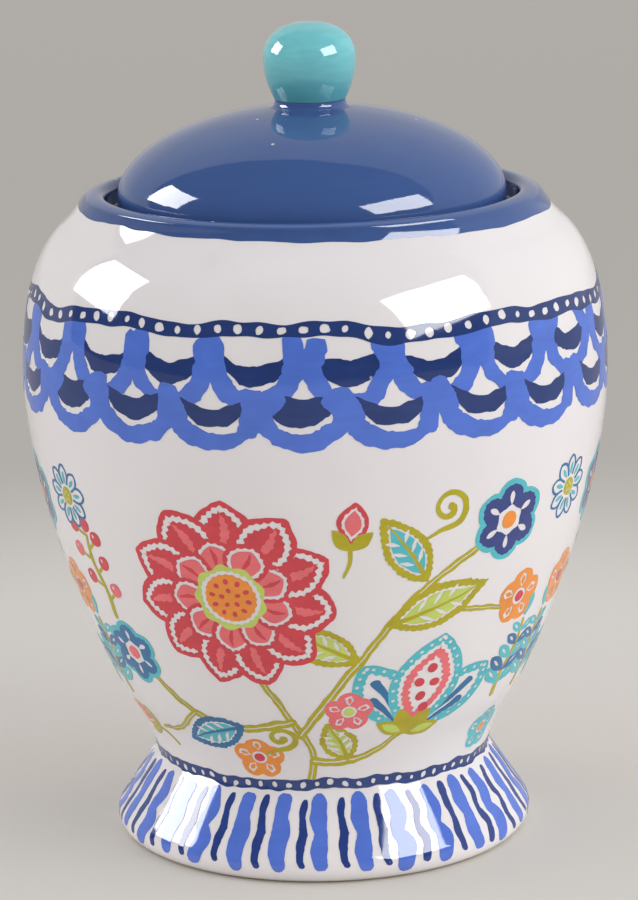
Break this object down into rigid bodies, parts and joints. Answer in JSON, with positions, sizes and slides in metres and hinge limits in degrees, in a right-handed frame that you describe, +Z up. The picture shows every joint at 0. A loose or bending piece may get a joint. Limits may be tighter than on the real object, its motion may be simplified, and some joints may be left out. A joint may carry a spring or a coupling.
{
  "type": "lidded canister",
  "caption": "Round ceramic canister with a full belly, a flared foot, a recessed domed lid with a ball knob, and a soft ring round the lid's plug.",
  "frame": {"origin": "centre of the circle that the foot stands on", "axes": "+Z up along the axis of the jar; the jar is round, so +X and +Y are any two level directions at right angles"},
  "size_m": [0.19, 0.19, 0.2668],
  "materials": {
    "white_glaze": "glossy clear glaze over white earthenware, unglazed foot ring",
    "blue_glaze": "glossy periwinkle blue glaze",
    "turquoise_glaze": "glossy turquoise glaze",
    "brush_navy": "painted underglaze below the glossy clear glaze",
    "brush_blue": "painted underglaze below the glossy clear glaze",
    "brush_turquoise": "painted underglaze below the glossy clear glaze",
    "brush_olive": "painted underglaze below the glossy clear glaze",
    "brush_lime": "painted underglaze below the glossy clear glaze",
    "brush_coral": "painted underglaze below the glossy clear glaze",
    "brush_pink": "painted underglaze below the glossy clear glaze",
    "brush_orange": "painted underglaze below the glossy clear glaze",
    "soft_silicone": "matt translucent silicone"
  },
  "bodies": {
    "jar": {"jar_body": "white_glaze"},
    "lid": {"lid_dome": "blue_glaze", "lid_knob": "turquoise_glaze", "lid_seal": "soft_silicone"}
  },
  "joints": [
    {"name": "lid_lift", "type": "slide", "parent": "jar", "child": "lid", "axis": [0, 0, 1], "range_m": [0, 0.12]}
  ]
}
